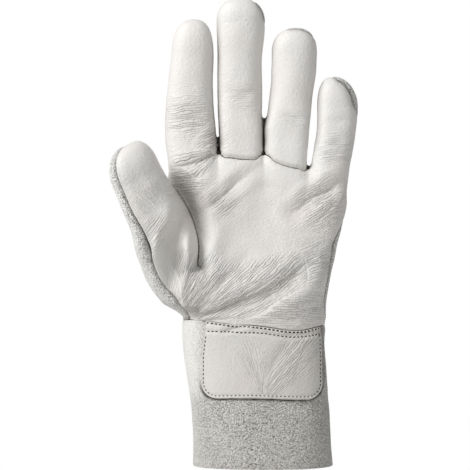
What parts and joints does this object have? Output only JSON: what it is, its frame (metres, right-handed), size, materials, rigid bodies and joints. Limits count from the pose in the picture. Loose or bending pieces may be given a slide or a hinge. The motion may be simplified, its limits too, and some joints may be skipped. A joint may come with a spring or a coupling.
{
  "type": "leather work glove",
  "caption": "Left-hand leather work glove, shown filled as worn: smooth grain leather palm and vein patch, suede back and open cuff.",
  "frame": {"origin": "middle of the cuff's open end, where the hand goes in", "axes": "+Z from the open end to the fingertips, -Y out of the palm, +X to the little finger's side"},
  "size_m": [0.1468, 0.0755, 0.2787],
  "materials": {
    "grain_leather": "off-white smooth grain leather, finely creased, soft satin sheen",
    "split_leather": "pale grey split leather, suede nap on the outside, no sheen",
    "thread": "off-white twisted sewing thread"
  },
  "bodies": {
    "root": {"palm": "grain_leather", "middle_finger_front": "grain_leather", "ring_finger_front": "grain_leather", "thumb_front": "grain_leather", "hand_back": "split_leather", "thumb_back": "split_leather", "cuff": "split_leather", "vein_patch": "grain_leather"}
  },
  "joints": []
}
